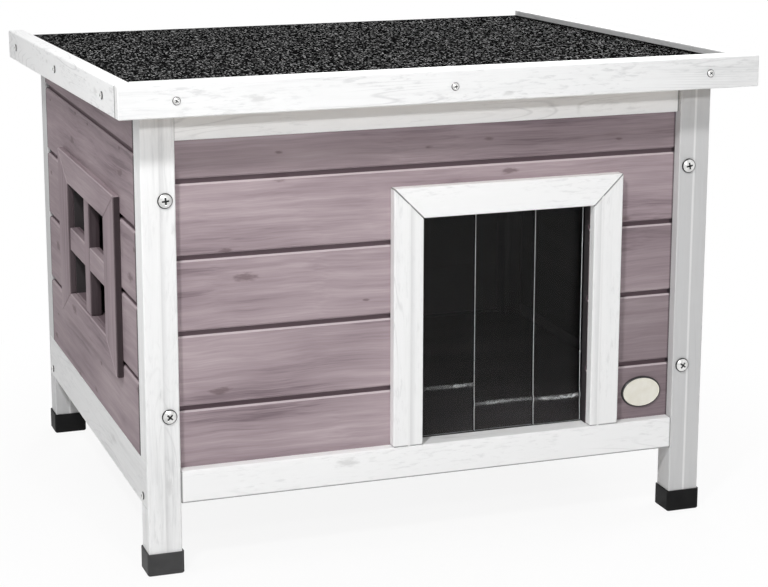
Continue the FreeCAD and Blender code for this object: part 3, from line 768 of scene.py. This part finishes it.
def cross_cutter(reach, width, top, depth):
    """A cross of two bars that taper from its top down to a depth."""
    bm = bmesh.new()
    for turn in (0, math.pi / 2):
        rows = []
        for height, long, thick in ((top, reach, width), (top - depth, 0.35 * reach, 0.6 * width)):
            corners = ((-long, -thick), (long, -thick), (long, thick), (-long, thick))
            rows.append([bm.verts.new((a, b, height)) for a, b in corners])
        upper, lower = rows
        bm.faces.new(upper)
        bm.faces.new(lower[::-1])
        for i in range(4):
            j = (i + 1) % 4
            bm.faces.new((upper[j], upper[i], lower[i], lower[j]))
        bmesh.ops.rotate(bm, verts=upper + lower, cent=(0, 0, 0), matrix=Matrix.Rotation(turn, 3, "Z"))
    return mesh_of("cross_cutter", bm)


def cut_out(name, blank_mesh, cutter_mesh):
    """A mesh with the form of another cut out of it. Both are used up."""
    blank = bpy.data.objects.new("blank", blank_mesh)
    cutter = bpy.data.objects.new("cutter", cutter_mesh)
    for item in (blank, cutter):
        scene.collection.objects.link(item)
    cut = blank.modifiers.new("cut", "BOOLEAN")
    cut.object = cutter
    cut.operation = "DIFFERENCE"
    cut.solver = "EXACT"
    cut.use_self = True
    mesh = bpy.data.meshes.new_from_object(blank.evaluated_get(bpy.context.evaluated_depsgraph_get()))
    for item in (blank, cutter):
        used = item.data
        bpy.data.objects.remove(item)
        bpy.data.meshes.remove(used)
    mesh.name = name
    return mesh


def head_height(share):
    """How high a pan head of height 1 stands at a share of its radius."""
    return HEAD_EDGE + (1 - HEAD_EDGE) * (1 - share ** 2.6)


def screw_mesh(name, radius, height, shank_radius, shank_length):
    """A pan-head screw standing on its seat, with a cross recess in the head and a threaded shank below."""
    core = 0.8 * shank_radius
    pitch = 0.75 * shank_radius
    turns = max(1, int((shank_length - 1.4 * shank_radius) / pitch))
    profile = [(0, -shank_length), (0.55 * shank_radius, -shank_length + 0.6 * shank_radius)]
    for turn in range(turns):
        root = -shank_length + core + turn * pitch
        profile += [(core, root), (shank_radius, root + 0.5 * pitch)]
    profile += [(core, 0), (0.94 * radius, 0), (radius, 0.08 * height), (radius, HEAD_EDGE * height)]
    profile += [(share * radius, height * head_height(share)) for share in (0.96, 0.88, 0.76, 0.6, 0.42, 0.2)]
    profile.append((0, height))
    bm = bmesh.new()
    lathe(bm, profile, SCREW_SEGMENTS)
    cutter = cross_cutter(0.56 * radius, 0.12 * radius, 1.1 * height, 0.95 * height)
    mesh = cut_out(name, mesh_of("screw_blank", bm), cutter)
    mesh.materials.append(screw_steel)
    mesh.materials.append(recess_shade_steel)
    # Painted shade: faces sunk in the recess and the ring at the seat take the near-black steel
    for face in mesh.polygons:
        out = Vector(face.center[:2]).length / radius
        sunk = 0 < face.center.z < height * (head_height(out) - 0.03)
        in_recess = out < RECESS_WITHIN and sunk
        at_seat = out > SEAT_BEYOND and face.center.z > 0
        face.material_index = int(in_recess or at_seat)
    return mesh


def drive_screws(name, mesh, body, seats):
    """One screw at each (point, outward direction), each turned a little further than the last."""
    for count, (point, outward) in enumerate(seats, 1):
        piece = add_piece(f"{name}_{count}", mesh)
        turn = Matrix.Rotation(count * GOLDEN_TURN, 4, "Z")
        aim = Vector(outward).to_track_quat("Z", "Y").to_matrix().to_4x4()
        piece.matrix_world = Matrix.Translation(point) @ aim @ turn
        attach(piece, body)


PANEL_SCREW_X, PANEL_SCREW_Z = 0.2395, (0.140, 0.325)
RAIL_SCREW_Y, RAIL_SCREW_Z = 0.203, 0.067
FRONT_TRIM_SCREW_X = (-0.2375, 0.0, 0.2375)
FRONT_TRIM_SCREW_Y, FRONT_TRIM_SCREW_Z = -0.25481, 0.41352
FRONT_TRIM_OUTWARD = (0, -math.cos(ROOF_FALL), math.sin(ROOF_FALL))
SIDE_TRIM_SCREW_YZ = ((-0.1953, 0.41165), (0.0088, 0.40525), (0.213, 0.39885))
LEAF_SCREW_X = (-0.155, -0.125, 0.125, 0.155)
LEAF_FACE_Y, BODY_LEAF_Z, ROOF_LEAF_Z = 0.2255, 0.36155, 0.38285

panel_screw = screw_mesh("panel_screw", 0.0065, 0.0034, 0.0024, 0.021)
trim_screw = screw_mesh("trim_screw", 0.0034, 0.0019, 0.0015, 0.0105)
leaf_screw = screw_mesh("leaf_screw", 0.0028, 0.0016, 0.0013, 0.0013)

panel_seats = [
    ((side * PANEL_SCREW_X, MIDDLE + end * POST_OUTER_Y, z), OUTWARD[wall])
    for wall, end in ENDS
    for _, side in SIDES
    for z in PANEL_SCREW_Z
]
rail_seats = [
    ((side * POST_OUTER_X, MIDDLE + end * RAIL_SCREW_Y, RAIL_SCREW_Z), OUTWARD[wall])
    for wall, side in SIDES
    for _, end in ENDS
]
trim_seats = [((x, FRONT_TRIM_SCREW_Y, FRONT_TRIM_SCREW_Z), FRONT_TRIM_OUTWARD) for x in FRONT_TRIM_SCREW_X]
trim_seats += [
    ((side * SIDE_TRIM_FACE, y, z), OUTWARD[wall])
    for wall, side in SIDES
    for y, z in SIDE_TRIM_SCREW_YZ
]
body_leaf_seats = [((x, LEAF_FACE_Y, BODY_LEAF_Z), OUTWARD["rear"]) for x in LEAF_SCREW_X]
roof_leaf_seats = [((x, LEAF_FACE_Y, ROOF_LEAF_Z), OUTWARD["rear"]) for x in LEAF_SCREW_X]
drive_screws("panel_screw", panel_screw, "house", panel_seats)
drive_screws("rail_screw", trim_screw, "house", rail_seats)
drive_screws("trim_screw", trim_screw, "roof", trim_seats)
drive_screws("body_leaf_screw", leaf_screw, "house", body_leaf_seats)
drive_screws("roof_leaf_screw", leaf_screw, "roof", roof_leaf_seats)


# Clear strips

STRIP_COLUMNS, STRIP_ROWS = 14, 72
# Width of the painted highlight beside a strip's lit edges
LIT_EDGE = 0.00025
# Shares of a strip's length, from its top: where its bow is full, and where its curl begins
BOW_FULL, CURL_START = 0.25, 0.55


def strip_mesh(name, low, high, materials, lit_right, bow, curl, rise, fold):
    """A strip hanging between two corners: bowed across, curling at its foot, with a soft ridge at its fold.

    The first material is for its faces and the second, a painted highlight, for the edges that would gather
    light.
    The right edge has it only where no other strip shades it.
    """
    middle, half = (low.y + high.y) / 2, (high.y - low.y) / 2
    edge = LIT_EDGE / (high.x - low.x)
    inner = [edge + (1 - 2 * edge) * i / (STRIP_COLUMNS - 2) for i in range(STRIP_COLUMNS - 1)]
    bm = bmesh.new()
    grid = {}
    for side in (-1, 1):
        for i, across in enumerate((0.0, *inner, 1.0)):
            for j in range(STRIP_ROWS + 1):
                down = j / STRIP_ROWS
                height = high.z + (low.z - high.z) * down
                free = min(1.0, down / BOW_FULL)
                free = free * free * (3 - 2 * free)
                out = bow * (1 - (2 * across - 1) ** 2) * free
                out += curl * (max(0.0, down - CURL_START) / (1 - CURL_START)) ** 2
                out += rise * math.exp(-(((height - fold) / FOLD_WIDTH) ** 2))
                x = low.x + (high.x - low.x) * across
                grid[side, i, j] = bm.verts.new((x, middle + side * half - out, height))
    for i in range(STRIP_COLUMNS):
        # Painted highlight on the columns along the edges that would catch the light
        lit = i == 0 or (lit_right and i == STRIP_COLUMNS - 1)
        for j in range(STRIP_ROWS):
            for side in (-1, 1):
                corners = [grid[side, a, b] for a, b in ((i, j), (i + 1, j), (i + 1, j + 1), (i, j + 1))]
                bm.faces.new(corners).material_index = int(lit)
    border = [(i, 0) for i in range(STRIP_COLUMNS)]
    border += [(STRIP_COLUMNS, j) for j in range(STRIP_ROWS)]
    border += [(i, STRIP_ROWS) for i in range(STRIP_COLUMNS, 0, -1)]
    border += [(0, j) for j in range(STRIP_ROWS, 0, -1)]
    for (a, b), (c, d) in zip(border, border[1:] + border[:1]):
        on_right = a == c == STRIP_COLUMNS
        border_face = bm.faces.new((grid[-1, a, b], grid[-1, c, d], grid[1, c, d], grid[1, a, b]))
        border_face.material_index = int(lit_right or not on_right)
    return mesh_of(name, bm, *materials)


for strip_side, hang in STRIPS.items():
    strip_node = f"flap_{strip_side}_strip"
    strip_name = f"clear_strip_{strip_side}"
    low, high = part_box(strip_node)
    materials = (clear_strips[strip_side], clear_edge_highlight)
    strip = add_piece(
        strip_name,
        strip_mesh(strip_name, low, high, materials, lit_right=strip_side == "right", **hang),
    )
    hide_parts(strip_node)
    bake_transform(strip)


# Bare oval plaque on the lowest board

PLAQUE_SEGMENTS = 64
PLAQUE_HALF_WIDTH, PLAQUE_HALF_HEIGHT, PLAQUE_THICK = 0.0195, 0.0145, 0.0022
PLAQUE_X, PLAQUE_Z = 0.2035, 0.1155
FACE, RIM = 0, 1
# From the edge to the middle: share of the half height, rise as a share of the thickness, and the material of
# the band that ends there
PLAQUE_SECTION = (
    (1.0, 0.0, RIM),
    (1.0, 0.55, RIM),
    (0.975, 0.85, RIM),
    (0.94, 1.0, RIM),
    (0.905, 0.95, RIM),
    (0.885, 0.72, FACE),
    (0.84, 0.7, FACE),
    (0.6, 0.76, FACE),
    (0.3, 0.8, FACE),
)


def plaque_mesh(name):
    """A shallow oval plate: dark rolled rim, cream face dished inside it."""
    bm = bmesh.new()
    rings = []
    for share, rise, _ in PLAQUE_SECTION:
        inset = (1 - share) * PLAQUE_HALF_HEIGHT
        wide, high = PLAQUE_HALF_WIDTH - inset, PLAQUE_HALF_HEIGHT - inset
        points = [(wide * c, high * s, rise * PLAQUE_THICK) for c, s in ring_points(PLAQUE_SEGMENTS)]
        rings.append([bm.verts.new(point) for point in points])
    for outer, inner, (_, _, paint) in zip(rings, rings[1:], PLAQUE_SECTION[1:]):
        for i in range(PLAQUE_SEGMENTS):
            j = (i + 1) % PLAQUE_SEGMENTS
            bm.faces.new((outer[i], outer[j], inner[j], inner[i])).material_index = paint
    bm.faces.new(rings[-1]).material_index = FACE
    bm.faces.new(rings[0][::-1]).material_index = RIM
    return mesh_of(name, bm, cream_enamel, dark_enamel)


plaque = add_piece("oval_plaque", plaque_mesh("oval_plaque"))
plaque_place = Matrix.Translation((PLAQUE_X, MIDDLE - END_BOARD_FACE, PLAQUE_Z))
plaque.matrix_world = plaque_place @ Matrix.Rotation(math.radians(90), 4, "X")
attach(plaque, "house")


# Floor, light and camera

AMBIENT, BACKDROP = 0.15, 1.0
FLOOR_SIZE, FLOOR_DROP = 12.0, 0.0002
FLOOR_CELLS = 8
# Between these distances from the object the floor's own tone gives way to plain white
FLOOR_FADE = (0.25, 0.62)


def background_share(tree):
    """1 for rays that show the background: seen directly, mirrored, or through clear sheet."""
    path = tree.nodes.new("ShaderNodeLightPath")
    share = path.outputs["Is Camera Ray"]
    for ray in ("Is Glossy Ray", "Is Transmission Ray"):
        larger = tree.nodes.new("ShaderNodeMath")
        larger.operation = "MAXIMUM"
        tree.links.new(share, larger.inputs[0])
        tree.links.new(path.outputs[ray], larger.inputs[1])
        share = larger.outputs[0]
    return share


def mix_shaders(tree, output, share, first, second):
    """Sends one shader to the output where the share is 0, and another where it is 1."""
    choice = tree.nodes.new("ShaderNodeMixShader")
    for socket, source in zip(choice.inputs, (share, first.outputs[0], second.outputs[0])):
        tree.links.new(source, socket)
    tree.links.new(choice.outputs[0], tree.nodes[output].inputs["Surface"])


world = bpy.data.worlds.new("studio")
world.use_nodes = True
scene.world = world
sky = world.node_tree
ambient = sky.nodes["Background"]
backdrop = sky.nodes.new("ShaderNodeBackground")
for glow, strength in ((ambient, AMBIENT), (backdrop, BACKDROP)):
    glow.inputs["Color"].default_value = (1, 1, 1, 1)
    glow.inputs["Strength"].default_value = strength
mix_shaders(sky, "World Output", background_share(sky), ambient, backdrop)

paper = Look("floor_paper")
paper.shade(Base_Color=(0.86, 0.86, 0.86, 1), Roughness=0.9, Specular_IOR_Level=0.0)
plain_white = paper.add("ShaderNodeEmission")
plain_white.inputs["Strength"].default_value = BACKDROP
away = paper.add("ShaderNodeVectorMath", operation="LENGTH")
paper.feed(away.inputs[0], paper.place)
white_share = paper.between(away.outputs["Value"], *FLOOR_FADE, 0.9, 1.0)
white_share = paper.times(background_share(paper.tree), white_share)
mix_shaders(paper.tree, "Material Output", white_share, paper.surface, plain_white)

floor_grid = bmesh.new()
bmesh.ops.create_grid(floor_grid, x_segments=FLOOR_CELLS, y_segments=FLOOR_CELLS, size=FLOOR_SIZE / 2)
floor = bpy.data.objects.new("floor", mesh_of("floor", floor_grid, paper.material))
floor.location.z = -FLOOR_DROP
scene.collection.objects.link(floor)


def add_lamp(name, place, target, power, wide, high):
    lamp_data = bpy.data.lights.new(name, "AREA")
    lamp_data.shape = "RECTANGLE"
    lamp_data.size, lamp_data.size_y = wide, high
    lamp_data.energy = power
    lamp = bpy.data.objects.new(name, lamp_data)
    lamp.location = place
    lamp.rotation_euler = (Vector(target) - Vector(place)).to_track_quat("-Z", "Y").to_euler()
    scene.collection.objects.link(lamp)


add_lamp("key", (-0.95, -1.35, 1.65), (-0.05, -0.1, 0.25), power=20.9, wide=0.2, high=0.2)
add_lamp("front_fill", (-0.1, -1.15, 0.73), (-0.02, -0.2, 0.2), power=2.95, wide=0.1, high=0.05)
add_lamp("left_fill", (-0.9, -0.25, 0.9), (-0.28, 0, 0.4), power=2.4, wide=0.3, high=0.3)
add_lamp("top_fill", (-0.3, 0.1, 2.0), (0, 0, 0.4), power=4, wide=0.6, high=0.6)
add_lamp("right_fill", (1.25, 0.15, 0.9), (0.25, 0.05, 0.25), power=6.2, wide=0.5, high=0.5)
add_lamp("back_fill", (0.9, 1.75, 0.95), (0.05, 0.2, 0.2), power=16, wide=0.9, high=0.7)

# The focal length and the width of the picture are in pixels
FOCAL_LENGTH, IMAGE_WIDTH = 2104.1, 768
CAMERA_PLACE = (-0.63255, -1.86824, 0.67666)
AZIMUTH, ELEVATION, ROLL = (math.radians(degrees) for degrees in (-19.457, 12.6, 0.112))
camera_data = bpy.data.cameras.new("camera")
camera_data.sensor_fit = "HORIZONTAL"
camera_data.sensor_width = 36.0
camera_data.lens = FOCAL_LENGTH * camera_data.sensor_width / IMAGE_WIDTH
camera_data.shift_y = -0.08
camera_data.clip_end = 50.0
camera = bpy.data.objects.new("camera", camera_data)
heading = Matrix.Rotation(AZIMUTH, 4, "Z")
tilt = Matrix.Rotation(math.pi / 2 - ELEVATION, 4, "X")
lean = Matrix.Rotation(ROLL, 4, "Z")
camera.matrix_world = Matrix.Translation(CAMERA_PLACE) @ heading @ tilt @ lean
scene.collection.objects.link(camera)
scene.camera = camera
scene.view_settings.view_transform = "Standard"
